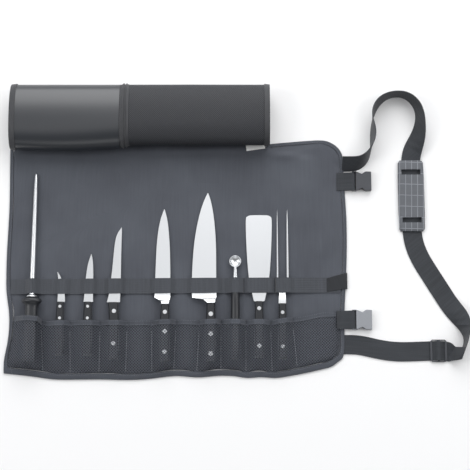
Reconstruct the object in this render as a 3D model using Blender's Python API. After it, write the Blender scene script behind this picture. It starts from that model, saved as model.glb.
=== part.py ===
"""Chef knife roll, lying open, with nine tools, two buckle sockets and its shoulder strap.

Metres, +Z up. The origin is on the underside of the base panel, at its middle. X runs along the
width of the panel and +Y points to the rolled flap.
"""
from collections import namedtuple
from math import atan2, ceil, cos, hypot, pi, radians, sin

import bmesh
import bpy
from mathutils import Matrix, Vector

# Space between pieces that touch
gap = 0.0003

# Base panel and the folded tape round it
panel_width = 0.676
panel_height = 0.480
panel_thickness = 0.003
corner_radius = 0.045
square_corner_radius = 0.004
side_tape = 0.0075
front_tape = 0.011
tape_height = 0.0042

# Rolled flap
flap_width = 0.518
flap_inset = 0.007
flap_thickness = 0.0018
flap_tape_width = 0.0078
flap_tape_thickness = 0.0032
roll_depth = 0.124
roll_height = 0.064
roll_setback = 0.043
roll_squareness = 2.4
roll_turns = 1.40
layer_gap = 0.0006
seam_width = 0.018
seam_thickness = 0.0024
rib_height = 0.0009
seam_share = 0.4405

# Care label
label_width = 0.038
label_depth = 0.014
label_thickness = 0.0008
label_turn = radians(8)

# Net pockets and elastic, measured from the front edge of the panel
pocket_height = 0.116
hem_width = 0.011
hem_thickness = 0.0016
net_thickness = 0.0012
slack_height = 0.0080
band_middle = 0.1825
band_width = 0.0300
band_thickness = 0.0012
band_slope = 0.009
tab_length = 0.0385
tab_thickness = 0.0012

# Tools: the line where most handles start, from the front edge of the panel
grip_line = 0.151
steel_reach = 0.223
steel_width = 0.048
handle_length = 0.112
handle_width = 0.018
handle_thickness = 0.0150
rivet_radius = 0.0042
tip_dip = 0.0060
tang_thickness = 0.0024
scale_bevel = 0.55
steel_step = 0.0005
rivet_sides = 8
steel_sides = 10

# Buckle sockets on their webbing loops
loop_width = 0.036
webbing_thickness = 0.0016
buckle_length = 0.038
buckle_width = 0.0395
buckle_height = 0.0120
buckle_reach = 0.0165
buckle_bar = 0.0040
mouth_height = 0.0066
mouth_width = 0.0310
mouth_depth = 0.0230
patch_length = 0.0165

# Shoulder strap, pad and slider
strap_width = 0.038
strap_reach = 0.250
strap_half_span = 0.240
strap_step = 0.013
pad_width = 0.052
pad_length = 0.145
pad_height = 0.0085
pad_middle = 0.127
window_depth = 0.0105
window_distance = 0.098
window_offset = -0.001
slider_length = 0.033
slider_width = 0.044
slider_thickness = 0.0024
slider_bar = 0.0050
slider_reach = 0.179
slider_place = -0.1837
slider_climb = 0.0053


def table(columns, *rows):
    """Rows with named columns; the first column is the position that the row stands at."""
    row_type = namedtuple("Row", columns)
    return [row_type(*row) for row in rows]


def read(rows, position, column):
    """Value of a column at a position, eased from row to row."""
    if position <= rows[0][0]:
        return getattr(rows[0], column)
    for low, high in zip(rows, rows[1:]):
        if position <= high[0]:
            share = (position - low[0]) / (high[0] - low[0])
            share = share * share * (3 - 2 * share)
            return getattr(low, column) * (1 - share) + getattr(high, column) * share
    return getattr(rows[-1], column)


def wave_places(rows, longest):
    """Every place where a wave has a row, with more between rows that stand further apart than longest."""
    places = []
    for low, high in zip(rows, rows[1:]):
        parts = ceil((high[0] - low[0]) / longest)
        places += [low[0] + (high[0] - low[0]) * part / parts for part in range(parts)]
    return places + [rows[-1][0]]


# Where the edges of the panel leave a straight line, as shares of its height or width
front_wave = table(
    "across shift",
    (-1.00, 0.023), (-0.90, 0.019), (-0.81, 0.012), (-0.71, 0.000), (-0.38, 0.002),
    (-0.29, -0.002), (-0.15, 0.002), (-0.02, 0.016), (0.04, 0.016), (0.14, 0.006),
    (0.25, 0.019), (0.37, 0.015), (0.42, 0.004), (0.50, 0.014), (0.58, 0.004),
    (0.67, 0.015), (0.78, 0.029), (0.87, 0.044), (1.00, 0.046),
)
back_wave = table(
    "across shift", (0.50, 0.0), (0.57, -0.012), (0.70, -0.003), (0.84, 0.006), (1.00, 0.002),
)
left_wave = table(
    "along shift",
    (-1.00, 0.003), (-0.88, 0.003), (-0.68, 0.015), (-0.47, 0.017), (-0.30, 0.003),
    (0.00, 0.001), (0.45, 0.005), (0.85, 0.001), (1.00, 0.001),
)
right_wave = table(
    "along shift",
    (-1.00, -0.008), (-0.45, -0.007), (-0.20, 0.000), (0.15, 0.005), (0.35, 0.005),
    (0.65, -0.002), (1.00, 0.000),
)

# Soft ripples of the panel: middle, half length and half breadth as shares of its width, height of the
# fold in panel thicknesses, and the direction that it runs in
ripples = table(
    "across back length breadth height turn",
    (0.40, 0.30, 0.085, 0.022, 1.6, 62),
    (0.45, 0.10, 0.075, 0.020, 1.2, 80),
    (0.34, 0.315, 0.060, 0.018, 1.2, 25),
    (-0.05, 0.285, 0.070, 0.013, 1.1, 8),
    (0.13, 0.280, 0.060, 0.013, 0.9, -10),
    (-0.34, 0.272, 0.055, 0.012, 0.8, 12),
)

# How far the roll bulges forward of its plain shape, as a share of its depth
roll_bulge = table("across forward", (0.00, 0.07), (0.14, 0.10), (0.38, 0.09), (0.47, 0.0), (1.0, 0.0))

# Sewn lines between the pockets, as shares of the panel's half width, at the mouth and at the foot
dividers = table(
    "number mouth foot",
    (0, -1.000, -1.000), (1, -0.778, -0.763), (2, -0.612, -0.604), (3, -0.438, -0.438),
    (4, -0.281, -0.284), (5, -0.136, -0.133), (6, 0.003, -0.006), (7, 0.139, 0.127),
    (8, 0.266, 0.266), (9, 0.411, 0.411), (10, 0.556, 0.562), (11, 0.686, 0.707), (12, 1.000, 1.000),
)
# How far the mouths stand above their common line, as a share of the pocket height
mouth_line = table(
    "across raise_",
    (-1.00, 0.060), (-0.80, 0.060), (-0.76, -0.020), (-0.66, 0.000), (0.55, 0.010),
    (0.73, 0.055), (0.86, 0.115), (1.00, 0.140),
)

# Tools, left to right: middle as a share of the panel's width; reach and width of the steel, length, width
# and thickness of the handle, how far the tip dips and the rivets' radius, as shares of the sizes above;
# how far the handle's front is past the grip line, as a share of the handle's length; the rivets' places
# along the handle
tools = table(
    "name across reach steel_width handle_length handle_width handle_thickness dip ahead rivet rivets",
    ("turning_knife", -0.3350, 0.269, 0.312, 0.938, 0.833, 0.833, 0.37, 0.009, 0.71, (0.09, 0.31)),
    ("paring_knife", -0.2544, 0.430, 0.375, 0.938, 0.917, 0.833, 0.57, 0.009, 0.71, (0.09, 0.31)),
    ("boning_knife", -0.1775, 0.677, 0.542, 1.000, 1.000, 0.967, 0.83, 0.000, 1.00, (0.16, 0.73)),
    ("slicing_knife", -0.0296, 0.861, 0.646, 1.000, 1.000, 1.000, 0.97, -0.036, 1.00, (0.14, 0.48, 0.84)),
    ("chefs_knife", 0.1036, 1.000, 1.000, 1.018, 1.028, 1.033, 1.00, -0.018, 1.10, (0.19, 0.53, 0.87)),
    ("spatula", 0.2440, 0.780, 1.125, 0.982, 0.917, 0.900, 0.83, 0.018, 0.95, (0.13, 0.80)),
    ("carving_fork", 0.3121, 0.852, 0.469, 0.964, 0.833, 0.900, 0.80, -0.027, 0.86, (0.16, 0.78)),
)
tools = [row._replace(
    reach=row.reach * steel_reach, steel_width=row.steel_width * steel_width,
    handle_length=row.handle_length * handle_length, handle_width=row.handle_width * handle_width,
    handle_thickness=row.handle_thickness * handle_thickness, dip=row.dip * tip_dip,
    ahead=row.ahead * handle_length, rivet=row.rivet * rivet_radius,
) for row in tools]

# Steel of each tool: along its reach, left and right edges as shares of its width, thickness of the
# spine as a share of the handle's thickness, and of the left edge as a share of the spine
blade_shapes = {
    "turning_knife": table(
        "along left right thick edge",
        (0.00, -0.41, 0.60, 0.16, 0.3), (0.20, -0.37, 0.57, 0.16, 0.9), (0.50, -0.37, 0.34, 0.14, 0.9),
        (0.80, -0.38, 0.04, 0.11, 0.9), (1.00, -0.54, -0.50, 0.06, 0.9),
    ),
    "paring_knife": table(
        "along left right thick edge",
        (0.00, -0.50, 0.54, 0.16, 0.2), (0.13, -0.44, 0.50, 0.16, 0.2), (0.50, -0.33, 0.50, 0.14, 0.2),
        (0.69, -0.22, 0.47, 0.12, 0.2), (0.82, -0.10, 0.42, 0.10, 0.2), (0.92, 0.06, 0.35, 0.08, 0.3),
        (1.00, 0.20, 0.23, 0.05, 0.8),
    ),
    "boning_knife": table(
        "along left right thick edge",
        (0.00, -0.58, 0.42, 0.20, 0.3), (0.09, -0.42, 0.43, 0.17, 0.2), (0.32, -0.28, 0.45, 0.15, 0.2),
        (0.55, -0.17, 0.44, 0.13, 0.2), (0.77, -0.09, 0.44, 0.11, 0.2), (0.88, 0.02, 0.45, 0.09, 0.2),
        (0.95, 0.22, 0.46, 0.07, 0.3), (1.00, 0.42, 0.44, 0.05, 0.8),
    ),
    "slicing_knife": table(
        "along left right thick edge",
        (0.000, -0.23, 0.23, 0.98, 1.0), (0.030, -0.26, 0.26, 0.85, 1.0), (0.045, -0.40, 0.28, 0.60, 0.8),
        (0.068, -0.68, 0.32, 0.34, 0.8), (0.100, -0.68, 0.32, 0.18, 0.3), (0.270, -0.65, 0.31, 0.16, 0.2),
        (0.530, -0.62, 0.28, 0.14, 0.2), (0.700, -0.56, 0.21, 0.12, 0.2), (0.820, -0.46, 0.14, 0.10, 0.2),
        (0.920, -0.33, 0.04, 0.08, 0.3), (1.000, -0.14, -0.11, 0.05, 0.8),
    ),
    "chefs_knife": table(
        "along left right thick edge",
        (0.000, -0.14, 0.16, 0.98, 1.0), (0.030, -0.30, 0.19, 0.85, 0.9), (0.048, -0.76, 0.22, 0.40, 0.7),
        (0.075, -0.79, 0.23, 0.20, 0.4), (0.240, -0.79, 0.21, 0.17, 0.2), (0.470, -0.74, 0.21, 0.15, 0.2),
        (0.620, -0.66, 0.18, 0.13, 0.2), (0.760, -0.54, 0.12, 0.11, 0.2), (0.860, -0.42, 0.05, 0.09, 0.2),
        (0.940, -0.29, -0.03, 0.07, 0.3), (1.000, -0.16, -0.13, 0.05, 0.8),
    ),
    "spatula": table(
        "along left right thick edge",
        (0.000, -0.19, 0.20, 0.17, 1.0), (0.100, -0.26, 0.27, 0.11, 1.0), (0.280, -0.41, 0.41, 0.09, 1.0),
        (0.930, -0.50, 0.50, 0.08, 1.0), (0.975, -0.46, 0.46, 0.08, 1.0), (0.994, -0.38, 0.38, 0.08, 1.0),
        (1.000, -0.29, 0.29, 0.08, 1.0),
    ),
    "carving_fork": table(
        "along left right thick edge",
        (0.000, -0.34, 0.30, 0.90, 1.0), (0.065, -0.33, 0.29, 0.80, 1.0), (0.080, -0.27, 0.25, 0.55, 1.0),
        (0.130, -0.27, 0.27, 0.34, 1.0), (0.200, -0.47, 0.56, 0.24, 1.0), (0.235, -0.47, 0.56, 0.22, 1.0),
    ),
}
# Tines of the fork: middle and half width as shares of the steel width
tines = table("number middle half", (0, -0.41, 0.060), (1, 0.48, 0.080))

# Half width of a handle along its length, and its extra flare at the left of the boning knife's front
handle_shape = table(
    "along half flare",
    (0.00, 0.43, 0.30), (0.12, 0.47, 0.12), (0.32, 0.52, 0.0), (0.70, 0.53, 0.0), (0.93, 0.58, 0.0),
    (1.00, 0.48, 0.0),
)
flared_handle = "boning_knife"

# Sharpening steel
steel_across = -0.4172
steel_ahead = 0.010
steel_dip = 0.0085
rod_length = 0.250
rod_radius = 0.0048
guard_width = 0.041
guard_depth = 0.026
steel_handle_length = 0.128
steel_handle_width = 0.0255
rod_shape = table(
    "along radius",
    (0.000, 2.35), (0.008, 2.2), (0.016, 1.1), (0.022, 1.0), (0.972, 0.84), (1.000, 0.12),
)
# The guard and the grip behind it: position from the guard's front as a share of the grip's length, and
# half width and half depth as shares of the guard
steel_handle_shape = table(
    "along half deep",
    (0.000, 0.36, 0.42), (0.030, 0.86, 0.88), (0.055, 1.00, 1.00), (0.085, 0.96, 0.98), (0.110, 0.55, 0.66),
    (0.300, 0.60, 0.72), (0.750, 0.60, 0.72), (0.940, 0.66, 0.76), (1.000, 0.50, 0.60),
)

# Melon baller
baller_across = 0.1746
baller_ahead = 0.018
baller_dip = 0.0005
baller_reach = 0.064
bowl_radius = 0.0122
bowl_depth = 0.0075
bowl_wall = 0.0009
baller_handle_length = 0.128
baller_handle_width = 0.0168
stem_shape = table("along half", (0.00, 0.34), (0.45, 0.30), (0.68, 0.22), (0.835, 0.17))
baller_handle_shape = table(
    "along half",
    (0.00, 0.42), (0.04, 0.47), (0.30, 0.50), (0.60, 0.48), (0.90, 0.52), (1.00, 0.34),
)

# Waist of the buckle socket: half width as a share of half its width, along its length
buckle_shape = table(
    "along half",
    (0.00, 1.00), (0.20, 1.00), (0.36, 0.86), (0.52, 0.74), (0.66, 0.94), (0.75, 1.00), (1.00, 0.97),
)
# Middle of each loop, and what its sewn patch climbs over: nothing, or the hem of the pockets
upper_buckle = 0.650 * panel_height / 2
lower_buckle = -0.5125 * panel_height / 2
buckles = table(
    "name middle climb", ("upper", upper_buckle, 0.0), ("lower", lower_buckle, hem_thickness + 2 * gap),
)

# Route of the strap: reach from the panel's edge as a share of the strap's reach, place as a share of
# its half span, and lean from flat in degrees
strap_route = table(
    "reach back lean",
    (0.000, 0.790, 50), (0.066, 0.791, 52), (0.125, 0.802, 58), (0.178, 0.845, 72),
    (0.208, 0.908, 84), (0.224, 0.970, 97), (0.232, 1.030, 102), (0.231, 1.100, 98),
    (0.226, 1.170, 86), (0.239, 1.245, 76), (0.274, 1.318, 76), (0.336, 1.370, 82),
    (0.424, 1.396, 88), (0.512, 1.380, 86), (0.580, 1.315, 80), (0.612, 1.228, 74),
    (0.610, 1.125, 62), (0.592, 1.030, 42), (0.560, 0.940, 18), (0.542, 0.875, 4),
    (0.537, 0.835, 0), (0.535, 0.720, 0), (0.534, 0.530, 0), (0.533, 0.355, 0),
    (0.535, 0.225, 0), (0.551, 0.115, 0), (0.596, -0.005, 0), (0.660, -0.120, 0),
    (0.736, -0.250, 0),
    (0.812, -0.380, 2), (0.872, -0.470, 20), (0.908, -0.540, 45), (0.925, -0.612, 75),
    (0.926, -0.680, 88), (0.909, -0.738, 92), (0.884, -0.772, 74), (0.855, -0.788, 36),
    (0.832, -0.786, 6), (0.814, -0.777, 0), (0.790, -0.768, 0),
    (0.571, -0.769, 0), (0.414, -0.773, 0),
    (0.297, -0.762, 0), (0.179, -0.737, 0), (0.090, -0.717, 0), (0.000, -0.714, 0),
)

half_width = panel_width / 2
half_height = panel_height / 2
front_edge = -half_height
seat = panel_thickness + gap


def material(name, red, green, blue, roughness, metallic=0.0):
    """A plain finish for one kind of surface."""
    finish = bpy.data.materials.new(name)
    finish.use_nodes = True
    shader = finish.node_tree.nodes["Principled BSDF"]
    shader.inputs["Base Color"].default_value = (red, green, blue, 1)
    shader.inputs["Roughness"].default_value = roughness
    shader.inputs["Metallic"].default_value = metallic
    finish.diffuse_color = (red, green, blue, 1)
    return finish


def grid(across, along):
    """A flat grid from (0, 0) to (1, 1)."""
    mesh = bmesh.new()
    bmesh.ops.create_grid(mesh, x_segments=across, y_segments=along, size=0.5)
    bmesh.ops.translate(mesh, verts=mesh.verts, vec=(0.5, 0.5, 0))
    return mesh


def add_piece(name, mesh, finish, parent=None):
    """Turn a modelled shape into a named object."""
    data = bpy.data.meshes.new(name)
    mesh.to_mesh(data)
    mesh.free()
    data.materials.append(finish)
    piece = bpy.data.objects.new(name, data)
    bpy.context.scene.collection.objects.link(piece)
    piece.parent = parent
    return piece


def sheet(name, across, along, place, thickness, finish, side=1):
    """A wall of cloth: a grid laid on place(u, v), thickened upwards (side 1) or both ways (side 0)."""
    mesh = grid(across, along)
    for vertex in mesh.verts:
        vertex.co = place(vertex.co.x, vertex.co.y)
    piece = add_piece(name, mesh, finish)
    wall = piece.modifiers.new("wall", "SOLIDIFY")
    wall.thickness = thickness
    wall.offset = side
    return piece


def loft(name, rings, finish, parent=None):
    """One closed skin through rings of points, capped at both ends."""
    last = len(rings) - 1
    count = len(rings[0])
    mesh = grid(last, count)
    for vertex in mesh.verts:
        ring = rings[round(vertex.co.x * last)]
        vertex.co = ring[round(vertex.co.y * count) % count]
    bmesh.ops.remove_doubles(mesh, verts=mesh.verts, dist=1e-6)
    bmesh.ops.holes_fill(mesh, edges=[edge for edge in mesh.edges if edge.is_boundary])
    bmesh.ops.recalc_face_normals(mesh, faces=mesh.faces)
    return add_piece(name, mesh, finish, parent)


def block(name, low, high, finish, parent=None):
    """A box between two corners."""
    (x0, y0, z0), (x1, y1, z1) = low, high
    rings = [[(x0, y0, z), (x1, y0, z), (x1, y1, z), (x0, y1, z)] for z in (z0, z1)]
    return loft(name, rings, finish, parent)


def combine(piece, other, operation):
    """Cut another shape out of a piece, or join it on, and keep that shape as a guide only."""
    step = piece.modifiers.new(other.name, "BOOLEAN")
    step.object = other
    step.operation = operation
    other.hide_render = True
    other.display_type = "WIRE"


def evenly(path, count):
    """Points at equal distances along a closely spaced path."""
    lengths = [0.0]
    for start, end in zip(path, path[1:]):
        lengths.append(lengths[-1] + (end - start).length)
    points = []
    index = 0
    for number in range(count + 1):
        target = lengths[-1] * number / count
        while index < len(path) - 2 and lengths[index + 1] < target:
            index += 1
        share = (target - lengths[index]) / (lengths[index + 1] - lengths[index])
        points.append(path[index].lerp(path[index + 1], share))
    return points


def panel_point(u, v, trim):
    """Plan position on the panel for u and v from -1 to 1: trim 0 is its outer edge, 1 inside the tape."""
    side = half_width - trim * side_tape
    front = front_edge + trim * front_tape
    back = half_height - trim * side_tape
    x = u * side
    y = front + (v + 1) / 2 * (back - front)
    radius = corner_radius if u > 0 else square_corner_radius
    radius = max(radius - trim * side_tape, square_corner_radius)
    inside_x = abs(x) - (side - radius)
    inside_y = max(front + radius - y, y - back + radius)
    if inside_x > 0 and inside_y > 0:
        pull = 1 - max(inside_x, inside_y) / hypot(inside_x, inside_y)
        x -= pull * inside_x * (1 if x > 0 else -1)
        y -= pull * inside_y * (1 if v > 0 else -1)
    y += read(front_wave, u, "shift") * panel_height * ((1 - v) / 2) ** 6
    y += read(back_wave, u, "shift") * panel_height * ((1 + v) / 2) ** 6
    x += read(left_wave, v, "shift") * panel_width * ((1 - u) / 2) ** 6
    x += read(right_wave, v, "shift") * panel_width * ((1 + u) / 2) ** 6
    return x, y


def across_panel(x, v, trim):
    """The u at which the panel has a given x."""
    u = x / half_width
    for _ in range(6):
        u = min(max(u + (x - panel_point(u, v, trim)[0]) / half_width, -1), 1)
    return u


def ripple_height(x, y):
    """How far the panel's soft folds lift it off the surface that it lies on."""
    lift = 0.0
    for row in ripples:
        dx = x - row.across * panel_width
        dy = y - row.back * panel_width
        turn = radians(row.turn)
        along = (dx * cos(turn) + dy * sin(turn)) / (row.length * panel_width)
        across = (dy * cos(turn) - dx * sin(turn)) / (row.breadth * panel_width)
        inside = 1 - along * along - across * across
        if inside > 0:
            lift += row.height * panel_thickness * inside * inside
    return lift


def build_panel():
    """The base sheet and the folded tape round its edge, open where the flap is sewn on."""
    inside = 1 + 2 * gap / side_tape
    columns = sorted(wave_places(front_wave, 0.145) + [0.91, 0.955])
    rows = sorted(wave_places(left_wave, 0.23) + [-0.955, -0.91, -0.81, 0.91, 0.955])

    def place(u, v):
        x, y = panel_point(columns[round(u * (len(columns) - 1))], rows[round(v * (len(rows) - 1))], inside)
        return x, y, ripple_height(x, y)

    sheet("base_panel", len(columns) - 1, len(rows) - 1, place, panel_thickness, coated_cloth)

    flap_end = (-half_width + flap_inset + flap_width) / half_width
    route = [(-1, v) for v in reversed(rows[:-1])]
    route += [(u, -1) for u in columns[1:-1]]
    route += [(1, v) for v in rows]
    route += [(u, 1) for u in reversed(columns[:-1]) if u > flap_end + 0.01]
    section = ((0, 0), (0, 0.7), (0.25, 1), (1, 1), (1, 0))
    rings = []
    for u, v in route:
        x, y = panel_point(u, v, 0.5)
        lift = ripple_height(x, y)
        ring = []
        for trim, height in section:
            x, y = panel_point(u, v, trim)
            ring.append((x, y, lift + height * tape_height))
        rings.append(ring)
    loft("panel_binding", rings, tape)


def roll_point(turn, share):
    """Middle of the flap's wall after that many turns round the roll, at a share of the flap's width."""
    half_depth = (roll_depth - flap_tape_thickness) / 2
    half_rise = (roll_height - flap_tape_thickness) / 2
    layer = flap_tape_thickness + layer_gap
    middle = half_height + roll_setback
    if turn < 0:
        return Vector((0, middle + turn * pi * half_depth, flap_tape_thickness / 2))
    settle = min(max((turn - 0.6) / 0.3, 0), 1)
    inward = layer * (settle * settle * (3 - 2 * settle) + max(turn - 1, 0))
    angle = 2 * pi * turn
    power = 2 / roll_squareness
    across = abs(sin(angle)) ** power
    rise = abs(cos(angle)) ** power
    forward = sin(angle) < 0
    depth = half_depth - inward
    if forward:
        depth += read(roll_bulge, share, "forward") * roll_depth
    y = middle + depth * across * (-1 if forward else 1)
    z = roll_height / 2 - (half_rise - inward) * rise * (1 if cos(angle) > 0 else -1)
    return Vector((0, y, z))


def roll_path(share, count):
    """The flap's wall from its sewn edge to its inner end, as evenly spaced points."""
    start = -(roll_setback + side_tape) / (pi * (roll_depth - flap_tape_thickness) / 2)
    steps = 400
    fine = [roll_point(start + (roll_turns - start) * step / steps, share) for step in range(steps + 1)]
    return evenly(fine, count)


def build_flap():
    """The upper flap, rolled up on itself: smooth sheet, ribbed seam, net-covered sheet and end tapes."""
    left = -half_width + flap_inset
    stations = 32
    seam_gap = 2.5 * gap
    paths = {}

    def roll_strip(name, start, end, across, thickness, finish, outward=None):
        def place(u, v):
            x = start + (end - start) * u
            share = round((x - left) / flap_width, 4)
            if share not in paths:
                paths[share] = roll_path(share, stations)
            path = paths[share]
            number = round(v * stations)
            point = path[number].copy()
            if outward:
                before = path[max(number - 1, 0)]
                after = path[min(number + 1, stations)]
                run = (after - before).normalized()
                point += Vector((0, run.z, -run.y)) * outward(u)
            point.x = x
            point.z = max(point.z, thickness / 2)
            return point

        sheet(name, across, stations, place, thickness, finish, side=0)

    seam_left = left + seam_share * flap_width - seam_width / 2
    seam_right = seam_left + seam_width
    right = left + flap_width
    tape_left = left + flap_tape_width
    tape_right = right - flap_tape_width
    roll_strip("flap_binding_left", left, tape_left, 1, flap_tape_thickness, tape)
    roll_strip("flap_sheet", tape_left + gap, seam_left - seam_gap, 3, flap_thickness, smooth_cloth)
    roll_strip("flap_seam", seam_left, seam_right, 4, seam_thickness, tape,
               lambda u: rib_height * (1 if round(u * 4) in (1, 3) else 0))
    roll_strip("flap_mesh_panel", seam_right + seam_gap, tape_right - gap, 3, flap_thickness, net)
    roll_strip("flap_binding_right", tape_right, right, 1, flap_tape_thickness, tape)

    def place_label(u, v):
        x = (u - 0.5) * label_width
        y = v * label_depth
        turn = label_turn
        return (right - 0.72 * label_width + x * cos(turn) - y * sin(turn),
                half_height - label_depth + x * sin(turn) + y * cos(turn), seat)

    sheet("care_label", 1, 1, place_label, label_thickness, white_tape)


def handle_lean(reach, dip):
    """Angle at which a tool lies, nose down, with the front of its handle on the panel."""
    return atan2(dip, reach)


def tool_frame(name, across, ahead, thickness, reach, dip):
    """An empty at the front of a tool's handle, pointing along the tool."""
    frame = bpy.data.objects.new(name + "_frame", None)
    bpy.context.scene.collection.objects.link(frame)
    frame.location = (across * panel_width, front_edge + grip_line + ahead, seat + thickness / 2)
    frame.rotation_euler = (-handle_lean(reach, dip), 0, 0)
    return frame


def handle_edges(tool, share):
    """Left and right side of a handle at a share of its length."""
    half = read(handle_shape, share, "half") * tool.handle_width
    flare = read(handle_shape, share, "flare") * tool.handle_width if tool.name == flared_handle else 0
    return -half - flare, half


def add_posts(name, tool, radius, low, high, finish, frame):
    """Upright round posts at a tool's rivets."""
    mesh = bmesh.new()
    for share in tool.rivets:
        centre = Vector((0, -share * tool.handle_length, (low + high) / 2))
        bmesh.ops.create_cone(mesh, cap_ends=True, segments=rivet_sides, radius1=radius, radius2=radius,
                              depth=high - low, matrix=Matrix.Translation(centre))
    return add_piece(name, mesh, finish, frame)


def build_riveted_tool(tool):
    """Steel with a full tang between two riveted scales."""
    frame = tool_frame(tool.name, tool.across, tool.ahead, tool.handle_thickness, tool.reach, tool.dip)
    half_tang = tang_thickness / 2
    half_thick = tool.handle_thickness / 2
    rings = []
    for row in reversed(handle_shape):
        left, right = handle_edges(tool, row.along)
        y = -row.along * tool.handle_length
        rings.append([(left, y, -half_tang), (right, y, -half_tang), (right, y, half_tang),
                      (left, y, half_tang)])
    for row in blade_shapes[tool.name]:
        left = row.left * tool.steel_width
        right = row.right * tool.steel_width
        y = steel_step + row.along * (tool.reach - steel_step)
        spine = row.thick * half_thick
        edge = spine * row.edge
        rings.append([(left, y, -edge), (right, y, -spine), (right, y, spine), (left, y, edge)])
    blade = loft(tool.name + "_blade", rings, steel, frame)
    if tool.name == "carving_fork":
        for tine in tines:
            middle = tine.middle * tool.steel_width
            tine_rings = []
            for along, share in ((0.21, 1.0), (0.85, 0.9), (1.0, 0.25)):
                half = tine.half * tool.steel_width * share
                thick = 0.11 * tool.handle_thickness * share
                y = along * tool.reach
                tine_rings.append([(middle - half, y, -thick), (middle + half, y, -thick),
                                   (middle + half, y, thick), (middle - half, y, thick)])
            name = "fork_tine_guide_" + str(tine.number)
            combine(blade, loft(name, tine_rings, steel, frame), "UNION")
    combine(blade, add_posts(tool.name + "_rivets", tool, tool.rivet, 0, half_thick, steel, frame), "UNION")

    inner = half_tang + gap
    for side, label in ((1, "top"), (-1, "bottom")):
        rings = []
        for row in handle_shape:
            left, right = handle_edges(tool, row.along)
            y = -gap - row.along * (tool.handle_length - gap)
            shoulder = inner + (half_thick - inner) * scale_bevel
            middle = (left + right) / 2
            half = (right - left) / 2
            rings.append([(left, y, side * inner), (left, y, side * shoulder),
                          (middle - 0.72 * half, y, side * half_thick),
                          (middle + 0.72 * half, y, side * half_thick),
                          (right, y, side * shoulder), (right, y, side * inner)])
        scale = loft(tool.name + "_scale_" + label, rings, grip, frame)
        if side > 0:
            holes = add_posts(tool.name + "_holes", tool, tool.rivet + gap, 0, 2 * half_thick, grip, frame)
            combine(scale, holes, "DIFFERENCE")


def oval(y, half, deep, sides):
    """A ring of points round the tool's axis."""
    turn = 2 * pi / sides
    return [(half * cos(turn * (n + 0.5)), y, deep * sin(turn * (n + 0.5))) for n in range(sides)]


def build_sharpening_steel():
    """Round steel rod with a flared ferrule, and a moulded grip with an oval guard."""
    frame = tool_frame("sharpening_steel", steel_across, steel_ahead, guard_depth, rod_length, steel_dip)
    rings = []
    for row in rod_shape:
        radius = row.radius * rod_radius
        y = gap + row.along * rod_length
        rings.append(oval(y, radius, min(radius, guard_depth * 0.42), steel_sides))
    loft("steel_rod", rings, steel, frame)
    rings = []
    for row in steel_handle_shape:
        y = -row.along * steel_handle_length
        rings.append(oval(y, row.half * guard_width / 2, row.deep * guard_depth / 2, steel_sides))
    loft("steel_handle", rings, grip, frame)


def build_melon_baller():
    """Small round scoop on a tapered stem, in a plain round handle."""
    frame = tool_frame("melon_baller", baller_across, baller_ahead, baller_handle_width, baller_reach,
                       baller_dip)
    rings = []
    steps = 4
    for wall, order in ((bowl_wall, range(steps + 1)), (0, range(steps, -1, -1))):
        for step in order:
            angle = pi / 2 * max(step, 0.25) / steps
            radius = (bowl_radius - bowl_wall + wall) * sin(angle)
            depth = (bowl_depth - bowl_wall + wall) * cos(angle)
            rings.append([(radius * cos(2 * pi * n / 12), baller_reach + radius * sin(2 * pi * n / 12), -depth)
                          for n in range(12)])
    scoop = loft("baller_scoop", rings, steel, frame)
    stem = [oval(gap + row.along * (baller_reach - gap), row.half * baller_handle_width,
                 row.half * baller_handle_width * 0.8, 8) for row in stem_shape]
    combine(scoop, loft("baller_stem_guide", stem, steel, frame), "UNION")
    rings = [oval(-row.along * baller_handle_length, row.half * baller_handle_width,
                  row.half * baller_handle_width, steel_sides) for row in baller_handle_shape]
    loft("baller_handle", rings, grip, frame)


def held_tools():
    """Middle, front, half width, height, length and lean of each handle, for the net that covers it."""
    names = "middle ahead half height length lean"
    riveted_handles = [
        (tool.across * panel_width, tool.ahead, tool.handle_width * 0.60, tool.handle_thickness,
         tool.handle_length, handle_lean(tool.reach, tool.dip)) for tool in tools
    ]
    return table(
        names, *riveted_handles,
        (steel_across * panel_width, steel_ahead, guard_width * 0.34, guard_depth * 0.88,
         steel_handle_length, handle_lean(rod_length, steel_dip)),
        (baller_across * panel_width, baller_ahead, baller_handle_width * 0.53, baller_handle_width,
         baller_handle_length, handle_lean(baller_reach, baller_dip)),
    )


def pocket_stops():
    """For each pocket: left, middle and right of what fills it, its height at the mouth and where it
    ends, and where that is."""
    stops = []
    for left, right in zip(dividers, dividers[1:]):
        start = left.mouth * half_width
        end = right.mouth * half_width
        inside = [tool for tool in held_tools() if start < tool.middle < end]
        if inside:
            tool = inside[0]
            behind = grip_line + tool.ahead - pocket_height + hem_width
            butt = front_edge + grip_line + tool.ahead - tool.length - net_thickness - 2 * gap
            stops.append((tool.middle - tool.half, tool.middle, tool.middle + tool.half,
                          tool.height + behind * sin(tool.lean) + 2 * gap,
                          tool.height + tool.length * sin(tool.lean) + 2 * gap, butt))
        else:
            width = end - start
            stops.append((start + 0.3 * width, start + 0.5 * width, start + 0.7 * width,
                          slack_height, slack_height, front_edge + 0.35 * pocket_height))
    return stops


def arch(start, stop, end):
    """Across one pocket: places from seam to seam, each with its share of the full height."""
    left, middle, right = stop[:3]
    return ((start, 0.0), ((start + left) / 2, 0.56), (left, 1.0), (middle, 1.03), (right, 1.0),
            ((right + end) / 2, 0.56), (end, 0.0))


def mouth_share(x):
    """Where the mouth of the pockets is on the panel, from -1 at its front to 1 at its back."""
    raised = pocket_height * (1 + read(mouth_line, x / half_width, "raise_"))
    return -1 + 2 * raised / panel_height


def divider_x(number, along, v, trim):
    """Place of the sewn line at the left of a pocket, or of the panel's own edge."""
    if number in (0, len(dividers) - 1):
        return panel_point(-1 if number == 0 else 1, v, trim)[0]
    row = dividers[number]
    return (row.mouth + (row.foot - row.mouth) * along) * half_width


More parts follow.
